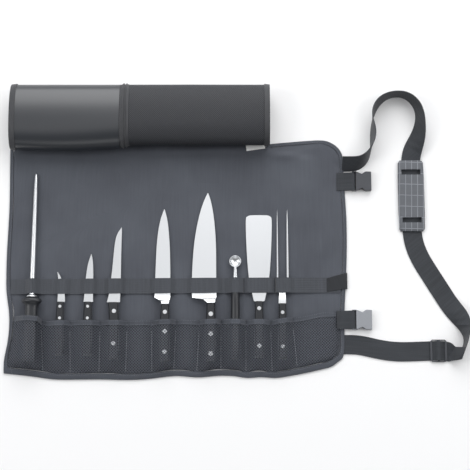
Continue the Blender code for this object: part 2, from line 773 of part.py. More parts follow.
def build_pockets():
    """Twelve net pockets, sewn down between their handles, and the hem along their mouths."""
    all_stops = pocket_stops()
    inside = 1 + 4 * gap / side_tape
    hem_share = 2 * (hem_width + 2 * gap) / panel_height
    seam_gap = 1.5 * gap

    for number, stop in enumerate(all_stops):
        middle_u = across_panel(stop[1], -1, inside)
        top = panel_point(middle_u, mouth_share(stop[1]) - hem_share, inside)[1]
        foot = panel_point(middle_u, -1, inside)[1]
        filled = (top - stop[5]) / (top - foot)
        # Along the pocket: share of its length, share of the height at the mouth and at the far end
        fall = ((0.0, 1.0, 0.0), (filled / 2, 0.5, 0.5), (filled, 0.0, 1.0),
                ((1 + filled) / 2, 0.0, 0.55), (1.0, 0.0, 0.0))

        def place(u, v):
            along, mouth_part, butt_part = fall[len(fall) - 1 - round(v * (len(fall) - 1))]
            mouth = mouth_share(stop[1]) - hem_share
            level = mouth + (-1 - mouth) * along
            start = divider_x(number, along, level, inside) + seam_gap
            end = divider_x(number + 1, along, level, inside) - seam_gap
            x, part = arch(start, stop, end)[round(u * 6)]
            mouth = mouth_share(x) - hem_share
            level = mouth + (-1 - mouth) * along
            x, y = panel_point(across_panel(x, level, inside), level, inside)
            return x, y, seat + net_thickness + part * (stop[3] * mouth_part + stop[4] * butt_part)

        sheet("pocket_%02d" % (number + 1), 6, len(fall) - 1, place, net_thickness, net, side=-1)

    points = []
    for number, stop in enumerate(all_stops):
        level = mouth_share(stop[1])
        start = divider_x(number, 0, level, inside) + (seam_gap if number == 0 else 0)
        end = divider_x(number + 1, 0, level, inside) - (seam_gap if number == len(all_stops) - 1 else 0)
        section = arch(start, stop, end)
        points += [(x, part * stop[3]) for x, part in section[:-1]]
    points.append((end, 0.0))

    def place_hem(u, v):
        x, height = points[round(u * (len(points) - 1))]
        level = mouth_share(x) - (1 - v) * 2 * hem_width / panel_height
        across = across_panel(x, level, inside)
        x, y = panel_point(across, level, inside)
        return x, y, seat + hem_thickness + height

    sheet("pocket_hem", len(points) - 1, 1, place_hem, hem_thickness, tape, side=-1)


def band_crossings():
    """What the elastic passes over: middle, half width and height over the panel."""
    ahead_of_grip = band_middle - grip_line
    crossings = []
    for tool in tools:
        rows = blade_shapes[tool.name]
        near = ahead_of_grip - tool.ahead - band_width / 2
        far = near + band_width
        lefts = [read(rows, y / tool.reach, "left") for y in (near, far)]
        rights = [read(rows, y / tool.reach, "right") for y in (near, far)]
        left = min(lefts) * tool.steel_width
        right = max(rights) * tool.steel_width
        thick = read(rows, near / tool.reach, "thick") * tool.handle_thickness / 2
        top = tool.handle_thickness / 2 + thick - near * sin(handle_lean(tool.reach, tool.dip))
        crossings.append((tool.across * panel_width + (left + right) / 2, (right - left) / 2, top))
    crossings.append((steel_across * panel_width, rod_radius, guard_depth / 2 + rod_radius))
    half = 0.34 * baller_handle_width
    crossings.append((baller_across * panel_width, half, baller_handle_width / 2 + half))
    return sorted(crossings)


def build_elastic():
    """Wide elastic over the blades, sewn down between them, and the tab over its right end."""
    inside = 1 + 6 * gap / side_tape
    band_share = -1 + 2 * band_middle / panel_height
    half_share = band_width / panel_height
    levels = [band_share + step * half_share for step in (-1, 0, 1)]
    start = max(panel_point(-1, level, inside)[0] for level in levels)
    end = min(panel_point(1, level, inside)[0] for level in levels)
    stops = [(start, 0.0)]
    for middle, half, top in band_crossings():
        half += 2 * gap
        foot_left = max(middle - half - band_slope, stops[-1][0] + 0.002)
        stops += [(foot_left, 0.0), (middle - half, top + gap), (middle + half, top + gap),
                  (middle + half + band_slope, 0.0)]
    stops.append((end, 0.0))

    def place(u, v):
        x, height = stops[round(u * (len(stops) - 1))]
        y = front_edge + band_middle + (v - 0.5) * band_width + 0.0035 * (x - start) / (end - start)
        return x, y, seat + height

    sheet("elastic_band", len(stops) - 1, 1, place, band_thickness, elastic)

    edge, _ = panel_point(1, band_share, 0)
    top = seat + band_thickness + gap
    drop = edge + gap + tab_thickness
    profile = ((edge - tab_length, top), (edge - side_tape, top + gap), (edge - tab_thickness, top + 2 * gap),
               (drop - tab_thickness * 0.3, top - 0.0010), (drop, top - 0.0030), (drop, gap))

    def place_tab(u, v):
        x, z = profile[round(u * (len(profile) - 1))]
        spread = min((x - edge + tab_length) / tab_length, 1)
        middle = front_edge + band_middle + 0.0035 + 0.0085 * spread
        return x, middle + (v - 0.5) * (band_width * 0.90 + 0.005 * spread), z

    tab = sheet("elastic_end_tab", len(profile) - 1, 1, place_tab, tab_thickness, smooth_cloth)
    tab.modifiers["wall"].use_even_offset = True


def build_buckle(label, middle, climb):
    """A sewn webbing loop and the socket half of a side-release buckle that it holds."""
    levels = [(middle + step * loop_width / 2) / half_height for step in (-1, 0, 1)]
    edges = [panel_point(1, level, 0)[0] for level in levels]
    near = min(edges) - side_tape - 3 * gap
    far = max(edges) + 3 * gap
    bar_x = far + buckle_reach
    centre_z = buckle_height / 2
    # The loop turns round the corners of the square bar
    bend = 0.71 * buckle_bar + gap + webbing_thickness / 2
    rise = seat + webbing_thickness / 2
    over = tape_height + gap + webbing_thickness / 2
    path = [Vector((far - patch_length, 0, rise + 3 * climb)), Vector((near - 0.002, 0, rise + 1.5 * climb)),
            Vector((near, 0, max(over, rise + climb))), Vector((far + 0.001, 0, over))]
    for step in range(7):
        angle = pi / 2 - pi * step / 6
        path.append(Vector((bar_x + bend * cos(angle), 0, centre_z + bend * sin(angle))))
    path.append(Vector((far + 0.004, 0, webbing_thickness / 2 + gap)))
    path.append(Vector((far + gap, 0, webbing_thickness / 2)))

    def place(u, v):
        point = path[round(u * (len(path) - 1))]
        return point.x, middle + (v - 0.5) * loop_width, point.z

    sheet("buckle_webbing_" + label, len(path) - 1, 1, place, webbing_thickness, webbing, side=0)

    start = bar_x - buckle_bar / 2
    outline = [(start + row.along * buckle_length, row.half * buckle_width / 2) for row in buckle_shape]
    rings = []
    for z, inset in ((0, 0.0008), (0.0012, 0), (buckle_height - 0.0012, 0), (buckle_height, 0.0008)):
        right_side = [(x, middle - half + inset, z) for x, half in outline]
        left_side = [(x, middle + half - inset, z) for x, half in reversed(outline)]
        rings.append(right_side + left_side)
    socket = loft("buckle_socket_" + label, rings, hard_plastic)
    slot = loop_width / 2 + 2 * gap
    clear = bend + webbing_thickness / 2 + 2 * gap - buckle_bar / 2
    guides = (
        ("slot", (start + buckle_bar, -slot, -0.001), (start + buckle_bar + clear, slot, 0.020)),
        ("over_bar", (start - 0.001, -slot, centre_z + buckle_bar / 2),
         (start + buckle_bar + clear, slot, 0.020)),
        ("under_bar", (start - 0.001, -slot, -0.001),
         (start + buckle_bar + clear, slot, centre_z - buckle_bar / 2)),
        ("mouth", (start + buckle_length - mouth_depth, -mouth_width / 2, centre_z - mouth_height / 2),
         (start + buckle_length + 0.001, mouth_width / 2, centre_z + mouth_height / 2)),
        ("windows", (start + 0.38 * buckle_length, -buckle_width, centre_z - 0.0022),
         (start + 0.68 * buckle_length, buckle_width, centre_z + 0.0022)),
    )
    for name, low, high in guides:
        low = (low[0], low[1] + middle, low[2])
        high = (high[0], high[1] + middle, high[2])
        guide = block("buckle_" + label + "_" + name, low, high, hard_plastic)
        combine(socket, guide, "DIFFERENCE")


def strap_place(place):
    """A place on the strap's route, which keeps its distance from the buckle that it starts or ends by."""
    share = min(max(place / strap_half_span * 2.5 + 0.75, 0), 1)
    return (place + share * (upper_buckle - 0.650 * strap_half_span)
            + (1 - share) * (lower_buckle + 0.5125 * strap_half_span))


def build_strap():
    """The long webbing strap, lying in a loop that stands on edge where it turns."""
    keys = [Vector((half_width + row.reach * strap_reach, strap_place(row.back * strap_half_span),
                    radians(row.lean), 0)) for row in strap_route]
    # Both ends meet the tape at the panel's edge
    for end in (keys[0], keys[-1]):
        spread = cos(end[2]) * strap_width / 2
        end.x = gap + max(panel_point(1, (end.y + side * spread) / half_height, 0)[0] for side in (-1, 0, 1))
    # The strap climbs over the slider's centre bar, and goes under its two side bars
    low = slider_length / 2 - slider_bar - webbing_thickness
    high = slider_bar / 2 + webbing_thickness / 2
    over_slider = [Vector((half_width + slider_reach + along, strap_place(slider_place), 0, lift))
                   for along, lift in ((low, 0), (high, slider_climb), (-high, slider_climb), (-low, 0))]
    last = max(number for number, key in enumerate(keys) if key.x > over_slider[0].x and key.y < 0)
    keys[last + 1:last + 1] = over_slider

    fine = []
    parts = 8
    for number in range(len(keys) - 1):
        before = keys[max(number - 1, 0)]
        start = keys[number]
        end = keys[number + 1]
        after = keys[min(number + 2, len(keys) - 1)]
        crossing = start[3] + end[3] > 0
        for part in range(parts):
            t = part / parts
            point = 0.5 * (2 * start + (end - before) * t
                           + (2 * before - 5 * start + 4 * end - after) * t ** 2
                           + (3 * start - before - 3 * end + after) * t ** 3)
            fine.append((point, crossing))
    stations = [fine[0][0]]
    travelled = 0.0
    for (start, was_crossing), (end, crossing) in zip(fine, fine[1:]):
        travelled += hypot(end.x - start.x, end.y - start.y)
        if crossing != was_crossing or travelled >= (strap_step / 5 if crossing else strap_step):
            stations.append(end)
            travelled = 0.0
    stations.append(keys[-1])

    def place(u, v):
        number = round(u * (len(stations) - 1))
        here = stations[number]
        before = stations[max(number - 1, 0)]
        after = stations[min(number + 1, len(stations) - 1)]
        run = Vector((after.x - before.x, after.y - before.y)).normalized()
        lean = here[2]
        side = (v - 0.5) * strap_width
        middle = (strap_width * abs(sin(lean)) + webbing_thickness * abs(cos(lean))) / 2 + max(here[3], 0)
        return (here.x - run.y * cos(lean) * side, here.y + run.x * cos(lean) * side,
                middle + sin(lean) * side)

    sheet("shoulder_strap", len(stations) - 1, 1, place, webbing_thickness, webbing, side=0)


def build_pad():
    """Rubber shoulder pad that the strap runs through, with two windows that show the webbing."""
    centre = half_width + 0.534 * strap_reach
    middle = strap_place(pad_middle)
    channel = strap_width / 2 + 0.0012
    roof = webbing_thickness + 2 * gap
    ends = table("along half rise", (-1.0, 0.86, 0.70), (-0.93, 0.97, 0.95), (-0.5, 1.0, 1.0),
                 (0.5, 1.0, 1.0), (0.93, 0.97, 0.95), (1.0, 0.86, 0.70))
    rings = []
    for row in ends:
        y = middle + row.along * pad_length / 2
        half = row.half * pad_width / 2
        top = row.rise * pad_height
        rings.append([(centre - half, y, 0), (centre - half, y, top * 0.72), (centre - half + 0.004, y, top),
                      (centre + half - 0.004, y, top), (centre + half, y, top * 0.72), (centre + half, y, 0),
                      (centre + channel, y, 0), (centre + channel, y, roof), (centre - channel, y, roof),
                      (centre - channel, y, 0)])
    pad = loft("shoulder_pad", rings, rubber)
    for side, label in ((1, "back"), (-1, "front")):
        window = middle + window_offset + side * window_distance / 2
        guide = block("pad_window_" + label, (centre - channel + 0.001, window - window_depth / 2, 0.0005),
                      (centre + channel - 0.001, window + window_depth / 2, 2 * pad_height), rubber)
        combine(pad, guide, "DIFFERENCE")


def build_slider():
    """Flat frame with a centre bar, which holds the strap at its length."""
    centre_x = half_width + slider_reach
    centre_y = strap_place(slider_place)
    low = webbing_thickness + gap
    half_x = slider_length / 2
    half_y = slider_width / 2
    corner = 0.004
    outline = [(-half_x + corner, -half_y), (half_x - corner, -half_y), (half_x, -half_y + corner),
               (half_x, half_y - corner), (half_x - corner, half_y), (-half_x + corner, half_y),
               (-half_x, half_y - corner), (-half_x, -half_y + corner)]
    rings = [[(centre_x + x, centre_y + y, z) for x, y in outline] for z in (low, low + slider_thickness)]
    frame = loft("strap_slider", rings, hard_plastic)
    opening = strap_width / 2 + 3 * gap
    for side, label in ((-1, "left"), (1, "right")):
        inner = side * slider_bar / 2
        outer = side * (half_x - slider_bar * 0.8)
        guide = block("slider_slot_" + label, (centre_x + min(inner, outer), centre_y - opening, -0.001),
                      (centre_x + max(inner, outer), centre_y + opening, 0.020), hard_plastic)
        combine(frame, guide, "DIFFERENCE")


for thing in list(bpy.data.objects):
    bpy.data.objects.remove(thing)

coated_cloth = material("coated_cloth", 0.085, 0.093, 0.107, 0.75)
smooth_cloth = material("smooth_cloth", 0.040, 0.045, 0.053, 0.42)
net = material("net", 0.050, 0.055, 0.065, 0.80)
tape = material("tape", 0.055, 0.060, 0.070, 0.70)
elastic = material("elastic", 0.065, 0.070, 0.080, 0.85)
webbing = material("webbing", 0.045, 0.049, 0.055, 0.80)
white_tape = material("white_tape", 0.80, 0.80, 0.79, 0.60)
rubber = material("rubber", 0.115, 0.125, 0.135, 0.60)
hard_plastic = material("hard_plastic", 0.030, 0.032, 0.035, 0.40)
grip = material("grip", 0.030, 0.032, 0.037, 0.45)
steel = material("steel", 0.80, 0.80, 0.81, 0.25, 1.0)

build_panel()
build_flap()
build_pockets()
build_elastic()
build_sharpening_steel()
for riveted in tools:
    build_riveted_tool(riveted)
build_melon_baller()
for buckle in buckles:
    build_buckle(*buckle)
build_strap()
build_pad()
build_slider()
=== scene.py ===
from collections import deque
from math import cos, exp, pi, radians, sin

import bmesh
import bpy
from mathutils import Matrix, Vector
from mathutils.bvhtree import BVHTree


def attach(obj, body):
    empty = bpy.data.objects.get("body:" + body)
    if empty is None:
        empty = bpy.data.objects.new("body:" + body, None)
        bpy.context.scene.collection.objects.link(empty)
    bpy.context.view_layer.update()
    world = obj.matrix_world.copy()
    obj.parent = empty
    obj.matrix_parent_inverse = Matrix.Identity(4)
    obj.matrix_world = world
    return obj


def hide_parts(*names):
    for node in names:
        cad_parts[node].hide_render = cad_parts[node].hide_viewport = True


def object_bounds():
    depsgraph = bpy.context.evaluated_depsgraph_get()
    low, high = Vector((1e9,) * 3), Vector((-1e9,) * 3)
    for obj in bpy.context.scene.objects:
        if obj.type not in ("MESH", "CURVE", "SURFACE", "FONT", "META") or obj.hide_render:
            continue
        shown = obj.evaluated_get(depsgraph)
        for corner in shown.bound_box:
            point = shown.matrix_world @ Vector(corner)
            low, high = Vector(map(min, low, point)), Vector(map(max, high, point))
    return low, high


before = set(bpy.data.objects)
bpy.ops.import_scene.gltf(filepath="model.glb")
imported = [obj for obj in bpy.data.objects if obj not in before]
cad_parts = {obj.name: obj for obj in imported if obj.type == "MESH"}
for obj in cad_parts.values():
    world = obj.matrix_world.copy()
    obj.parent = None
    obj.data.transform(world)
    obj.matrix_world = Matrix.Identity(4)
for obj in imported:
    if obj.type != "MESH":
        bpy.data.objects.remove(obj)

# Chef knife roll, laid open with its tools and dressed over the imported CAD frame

cad_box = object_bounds()
scene = bpy.context.scene

# Camera, floor and lamps. The photograph looks almost straight down, from a little in front of the roll,
# and the light is a large soft lamp behind the roll with a white room round it.
aim = Vector((0.1175, 0.0476, 0))
tilt = radians(10)
distance = 2.300
eye = bpy.data.cameras.new("camera")
eye.lens = 88.1
eye.sensor_width = 36
eye.clip_end = 50
camera = bpy.data.objects.new("camera", eye)
camera.location = aim + distance * Vector((0, -sin(tilt), cos(tilt)))
camera.rotation_euler = (tilt, 0, 0)
scene.collection.objects.link(camera)
scene.camera = camera
scene.view_settings.view_transform = "Standard"


def linear(code):
    """An sRGB hex colour as the linear values that a shader takes."""
    parts = [int(code[n:n + 2], 16) / 255 for n in (1, 3, 5)]
    return (*[p / 12.92 if p <= 0.04045 else ((p + 0.055) / 1.055) ** 2.4 for p in parts], 1)


def add_node(tree, kind, settings, links=None):
    """Add a shader node; settings are its own values or inputs, links are its inputs and what feeds them."""
    node = tree.nodes.new("ShaderNode" + kind)
    for key, value in settings.items():
        if isinstance(key, int) or key in node.inputs:
            node.inputs[key].default_value = value
        else:
            setattr(node, key, value)
    for key, socket in (links or {}).items():
        tree.links.new(socket, node.inputs[key])
    return node


def new_finish(name, colour, roughness, **settings):
    """A material with one Principled shader, and its tree and shader to build on."""
    finish = bpy.data.materials.new(name)
    finish.use_nodes = True
    tree = finish.node_tree
    shader = tree.nodes["Principled BSDF"]
    shader.inputs["Base Color"].default_value = linear(colour)
    shader.inputs["Roughness"].default_value = roughness
    for key, value in settings.items():
        shader.inputs[key.replace("_", " ")].default_value = value
    return finish, tree, shader


floor_shape = bmesh.new()
bmesh.ops.create_grid(floor_shape, x_segments=1, y_segments=1, size=6)
floor_mesh = bpy.data.meshes.new("floor")
floor_shape.to_mesh(floor_mesh)
floor_shape.free()
floor = bpy.data.objects.new("floor", floor_mesh)
scene.collection.objects.link(floor)
floor.location.z = cad_box[0][2] - 0.0002
# Matt board: it takes a soft shadow and shows no reflection
floor_finish, _, _ = new_finish("matt_white_board", "#f5f5f5", 0.9)
floor_mesh.materials.append(floor_finish)


def soft_lamp(name, place, look_at, width, depth, watts):
    """A rectangular soft lamp that points at a place."""
    light = bpy.data.lights.new(name, "AREA")
    light.shape = "RECTANGLE"
    light.size = width
    light.size_y = depth
    light.energy = watts
    lamp = bpy.data.objects.new(name, light)
    lamp.location = place
    lamp.rotation_euler = (Vector(look_at) - Vector(place)).to_track_quat("-Z", "Y").to_euler()
    scene.collection.objects.link(lamp)


# Each lamp: name, place, the point that it looks at, width, depth and watts
soft_lamp("back_lamp", (0.30, 2.15, 1.75), (0.05, 0.10, 0), 3.2, 2.5, 58)
soft_lamp("right_lamp", (2.40, 0.10, 2.20), (0.05, 0.05, 0), 1.2, 1.6, 22)
soft_lamp("left_lamp", (-2.40, 0.00, 2.20), (0.05, 0.05, 0), 1.2, 1.6, 28)
soft_lamp("top_lamp", (-0.25, 0.42, 3.00), (0.05, 0.05, 0), 2.2, 0.9, 3.8)
soft_lamp("front_lamp", (0.10, -2.40, 1.80), (0.05, 0.20, 0), 2.4, 1.2, 7)
# The room is white behind and above the roll, and darker on the side that the camera stands on
room = bpy.data.worlds.new("white_room")
room.use_nodes = True
sky = room.node_tree.nodes["Background"]
sky.inputs["Color"].default_value = linear("#fbfcff")
direction = add_node(room.node_tree, "TexCoord", {})
parts = add_node(room.node_tree, "SeparateXYZ", {}, {0: direction.outputs["Generated"]})
add_node(room.node_tree, "MapRange", {"From Min": -0.3, "From Max": 1.0, "To Min": 0.20, "To Max": 0.9},
         {"Value": parts.outputs["Y"]})
room.node_tree.links.new(room.node_tree.nodes["Map Range"].outputs["Result"], sky.inputs["Strength"])
scene.world = room

# Base panel: a coated polyester cloth sewn to a plain lining, 3 mm through. It lies flat, with soft
# swells where it was rolled up before.


def worn_copy(*nodes):
    """The shape of one or more CAD nodes as one mesh of clean quads."""
    shape = bmesh.new()
    for name in nodes:
        shape.from_mesh(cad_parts[name].data)
    bmesh.ops.remove_doubles(shape, verts=shape.verts, dist=1e-5)
    bmesh.ops.join_triangles(shape, faces=shape.faces, angle_face_threshold=radians(30),
                             angle_shape_threshold=radians(180))
    return shape


def keep_sharp(shape, angle):
    """Mark the edges that turn more than an angle, so that smoothing leaves them as they are."""
    crease = shape.edges.layers.float.new("crease_edge")
    for edge in shape.edges:
        if edge.calc_face_angle(pi) > angle:
            edge[crease] = 1
            edge.smooth = False


def lay_flat(shape, along):
    """Write each face's place on the flat cloth in metres, as if the piece were unrolled on a table."""
    flat = shape.loops.layers.uv.new("flat")
    for face in shape.faces:
        face.tag = False
    for first in sorted(shape.faces, key=lambda face: -face.calc_area()):
        if first.tag:
            continue
        run = (along - first.normal * along.dot(first.normal)).normalized()
        across = first.normal.cross(run)
        for corner in first.loops:
            corner[flat].uv = (corner.vert.co.dot(run), corner.vert.co.dot(across))
        first.tag = True
        waiting = deque([first])
        while waiting:
            for corner in waiting.popleft().loops:
                start = corner[flat].uv.copy()
                edge = corner.link_loop_next.vert.co - corner.vert.co
                if edge.length < 1e-7:
                    continue
                flat_run = (corner.link_loop_next[flat].uv - start) / edge.length
                flat_across = Vector((-flat_run.y, flat_run.x))
                edge.normalize()
                for twin in corner.edge.link_loops:
                    if twin.face.tag:
                        continue
                    across = twin.face.normal.cross(edge)
                    for other in twin.face.loops:
                        offset = other.vert.co - corner.vert.co
                        other[flat].uv = (start + flat_run * offset.dot(edge)
                                          + flat_across * offset.dot(across))
                    twin.face.tag = True
                    waiting.append(twin.face)


def add_piece(name, shape, finish, nodes=(), smooth=0, bevel=0.0):
    """Turn a finished shape into a piece of the roll that stands for CAD nodes."""
    mesh = bpy.data.meshes.new(name)
    shape.to_mesh(mesh)
    shape.free()
    mesh.materials.append(finish)
    piece = bpy.data.objects.new(name, mesh)
    scene.collection.objects.link(piece)
    if bevel:
        round_off = piece.modifiers.new("round_off", "BEVEL")
        round_off.width = bevel
        round_off.segments = 3
        round_off.limit_method = "ANGLE"
        round_off.angle_limit = radians(22)
        round_off.use_clamp_overlap = True
    if smooth:
        rounding = piece.modifiers.new("rounding", "SUBSURF")
        rounding.levels = smooth
        rounding.render_levels = smooth
    mesh.shade_smooth()
    if bevel:
        weights = piece.modifiers.new("flat_faces", "WEIGHTED_NORMAL")
        weights.keep_sharp = True
    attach(piece, "root")
    if nodes:
        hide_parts(*nodes)
    return piece


# A wave texture repeats every 0.314 units at a scale of 1
wave_repeat = 0.314


def cloth_finish(name, dark, light, thread, roughness, streak, rib=(1, 1)):
    """Woven cloth: thread pitch in metres along and across, slow mottling, and faint streaks of the warp."""
    finish, tree, shader = new_finish(name, light, roughness, Specular_IOR_Level=0.35, Sheen_Weight=0.15,
                                      Sheen_Roughness=0.5)
    place = add_node(tree, "TexCoord", {})
    clouds = add_node(tree, "TexNoise", {"Scale": 9.0, "Detail": 3.0}, {"Vector": place.outputs["Object"]})
    stretch = add_node(tree, "Mapping", {"Scale": (320.0, 14.0, 1.0)}, {"Vector": place.outputs["UV"]})
    streaks = add_node(tree, "TexNoise", {"Scale": 1.0, "Detail": 2.0}, {"Vector": stretch.outputs["Vector"]})
    both = add_node(tree, "Mix", {"data_type": "FLOAT", 0: streak},
                    {2: clouds.outputs["Fac"], 3: streaks.outputs["Fac"]})
    spread = add_node(tree, "MapRange", {"From Min": 0.32, "From Max": 0.68}, {"Value": both.outputs[0]})
    colour = add_node(tree, "Mix", {"data_type": "RGBA", 6: linear(dark), 7: linear(light)},
                      {0: spread.outputs["Result"]})
    tree.links.new(colour.outputs[2], shader.inputs["Base Color"])
    warp = add_node(tree, "TexWave", {"bands_direction": "X", "Scale": wave_repeat / thread * rib[0],
                                      "Distortion": 0.0}, {"Vector": place.outputs["UV"]})
    weft = add_node(tree, "TexWave", {"bands_direction": "Y", "Scale": wave_repeat / thread * rib[1],
                                      "Distortion": 0.0}, {"Vector": place.outputs["UV"]})
    weave = add_node(tree, "Math", {"operation": "MULTIPLY"},
                     {0: warp.outputs["Fac"], 1: weft.outputs["Fac"]})
    relief = add_node(tree, "Bump", {"Strength": 0.5, "Distance": thread * 0.25},
                      {"Height": weave.outputs["Value"]})
    tree.links.new(relief.outputs["Normal"], shader.inputs["Normal"])
    return finish


# Coated polyester: a close plain weave with a dull sheen, mottled by wear
panel_cloth = cloth_finish("coated_polyester", "#43464e", "#50545c", 0.0011, 0.62, 0.28)
# Painted shade: the net keeps light off the cloth behind it, so the cloth's colour is painted darker from the
# hem down
tree = panel_cloth.node_tree
shader = tree.nodes["Principled BSDF"]
place = add_node(tree, "TexCoord", {})
parts = add_node(tree, "SeparateXYZ", {}, {0: place.outputs["Object"]})
shade = add_node(tree, "MapRange", {"From Min": -0.131, "From Max": -0.123, "To Min": 0.62, "To Max": 1.0},
                 {"Value": parts.outputs["Y"]})
open_colour = shader.inputs["Base Color"].links[0].from_socket
shaded = add_node(tree, "Mix", {"data_type": "RGBA", "blend_type": "MULTIPLY", 0: 1.0},
                  {6: open_colour, 7: shade.outputs["Result"]})
tree.links.new(shaded.outputs[2], shader.inputs["Base Color"])
# Soft swells: middle, half length and half breadth, height and direction
swells = (
    (0.050, 0.2215, 0.110, 0.0080, 0.0020, 2), (0.200, 0.2120, 0.060, 0.0100, 0.0016, -12),
    (-0.120, 0.2110, 0.090, 0.0070, 0.0009, 3), (0.262, 0.150, 0.075, 0.0160, 0.0022, 68),
    (0.240, 0.070, 0.080, 0.0180, 0.0018, 35), (0.290, 0.020, 0.060, 0.0150, 0.0016, 20),
    (-0.010, 0.160, 0.060, 0.0180, 0.0008, 80), (-0.135, 0.120, 0.080, 0.0200, 0.0008, 86),
    (-0.230, 0.060, 0.120, 0.0200, 0.0006, 92), (0.030, 0.190, 0.080, 0.0120, 0.0009, 15),
)
shape = worn_copy("base_panel")
bmesh.ops.subdivide_edges(shape, edges=shape.edges, cuts=2, use_grid_fill=True)
for vertex in shape.verts:
    x, y, _ = vertex.co
    for middle_x, middle_y, length, breadth, height, turn in swells:
        turn = radians(turn)
        along = ((x - middle_x) * cos(turn) + (y - middle_y) * sin(turn)) / length
        across = ((y - middle_y) * cos(turn) - (x - middle_x) * sin(turn)) / breadth
        vertex.co.z += height * exp(-along * along - across * across)
keep_sharp(shape, radians(50))
lay_flat(shape, Vector((1, 0, 0)))
panel = add_piece("panel_cloth", shape, panel_cloth, ["base_panel"], smooth=1)

# Binding: a polyester tape folded over the raw edge of the panel and sewn down with one row of thread
# along its inner edge.
# Binding tape: a ribbed weave, duller than the cloth
tape_cloth = cloth_finish("binding_tape", "#3f4249", "#4d5159", 0.0013, 0.72, 0.4)


def add_grain(tree, shader, dark, light, scale, depth):
    """Fine noise in the colour and the relief of a finish; scale is the number of grains in a metre."""
    place = add_node(tree, "TexCoord", {})
    grain = add_node(tree, "TexNoise", {"Scale": scale, "Detail": 3.0}, {"Vector": place.outputs["Object"]})
    colour = add_node(tree, "Mix", {"data_type": "RGBA", 6: linear(dark), 7: linear(light)},
                      {0: grain.outputs["Fac"]})
    tree.links.new(colour.outputs[2], shader.inputs["Base Color"])
    relief = add_node(tree, "Bump", {"Strength": 0.3, "Distance": depth}, {"Height": grain.outputs["Fac"]})
    tree.links.new(relief.outputs["Normal"], shader.inputs["Normal"])


thread_finish, tree, shader = new_finish("sewing_thread", "#70747b", 0.6)
# The twist of the thread shows as short light and dark flecks
add_grain(tree, shader, "#62666d", "#7e8289", 1400.0, 0.0001)
shape = worn_copy("panel_binding")
# Its right end goes on under the roll by this much
hidden_end = 0.0110
for vertex in shape.verts:
    if vertex.co.y > 0.2 and 0.180 < vertex.co.x < 0.200:
        vertex.co.x -= hidden_end
keep_sharp(shape, radians(60))
lay_flat(shape, Vector((1, 0, 0)))
add_piece("panel_tape", shape, tape_cloth, ["panel_binding"], smooth=2)


def surface(*nodes):
    """CAD nodes as something that a plumb line can be dropped on."""
    shape = worn_copy(*nodes)
    found = BVHTree.FromBMesh(shape)
    shape.free()
    return found


def drop(tree, x, y):
    """The first point under a place, or None."""
    return tree.ray_cast(Vector((x, y, 0.2)), Vector((0, 0, -1)))[0]


def between_edges(tree, start, outward, reach, share):
    """A point on a band of tape, at a share of its width from its inner to its outer edge."""
    found = []
    for step in range(round(reach / 0.0005)):
        point = start + outward * step * 0.0005
        hit = drop(tree, point.x, point.y)
        if hit:
            found.append(hit)
    return found[round(share * (len(found) - 1))] if found else None


round_thread = bmesh.new()
bmesh.ops.create_uvsphere(round_thread, u_segments=6, v_segments=4, radius=1)
stitch = bpy.data.meshes.new("stitch")
round_thread.to_mesh(stitch)
round_thread.free()


def sew(shape, points, pitch=0.0036, thickness=0.00075):
    """A row of stitches along points: each a short round thread that dips into the cloth at both ends."""
    points = [point for point in points if point]
    spare = 0.0
    for start, end in zip(points, points[1:]):
        run = end - start
        while spare < run.length:
            middle = start + run.normalized() * spare
            turn = run.to_track_quat("X", "Z").to_matrix().to_4x4()
            size = Matrix.Diagonal((pitch * 0.40, thickness / 2, thickness / 2, 1))
            place = Matrix.Translation(middle + Vector((0, 0, thickness * 0.15))) @ turn @ size
            stitch.transform(place)
            shape.from_mesh(stitch)
            stitch.transform(place.inverted())
            spare += pitch
        spare -= run.length


seams = bmesh.new()
tape = surface("panel_binding")
# Straight runs of the tape: first point, last point and the way out
edge_runs = (
    ((-0.315, -0.232), (-0.315, 0.235), (-1, 0)), ((-0.322, -0.215), (0.285, -0.195), (0, -1)),
    ((0.318, -0.185), (0.318, 0.190), (1, 0)), ((0.285, 0.218), (0.190, 0.218), (0, 1)),
)
for first, last, outward in edge_runs:
    first, last = Vector((*first, 0)), Vector((*last, 0))
    steps = round((last - first).length / 0.0036)
    sew(seams, [between_edges(tape, first.lerp(last, step / steps), Vector((*outward, 0)), 0.040, 0.22)
                for step in range(steps + 1)])
for centre, low, high in (((0.285, -0.180), -90, 0), ((0.285, 0.190), 0, 90)):
    sew(seams, [between_edges(tape, Vector((*centre, 0)), Vector((cos(radians(turn)), sin(radians(turn)), 0)),
                              0.075, 0.22) for turn in range(low, high + 1, 4)])

# Rolled flap: one cloth rolled up on itself, smooth and slightly shiny at the left, netted at the right,
# joined by a seam with two raised ribs and bound at both ends with the same tape.
# Smooth coated cloth: nearly black, with long soft highlights along the roll
smooth_cloth, tree, shader = new_finish("smooth_coated_cloth", "#20242a", 0.31, Specular_IOR_Level=1.0)
place = add_node(tree, "TexCoord", {})
grain = add_node(tree, "TexNoise", {"Scale": 900.0, "Detail": 4.0}, {"Vector": place.outputs["Object"]})
relief = add_node(tree, "Bump", {"Strength": 0.12, "Distance": 0.0002}, {"Height": grain.outputs["Fac"]})
tree.links.new(relief.outputs["Normal"], shader.inputs["Normal"])

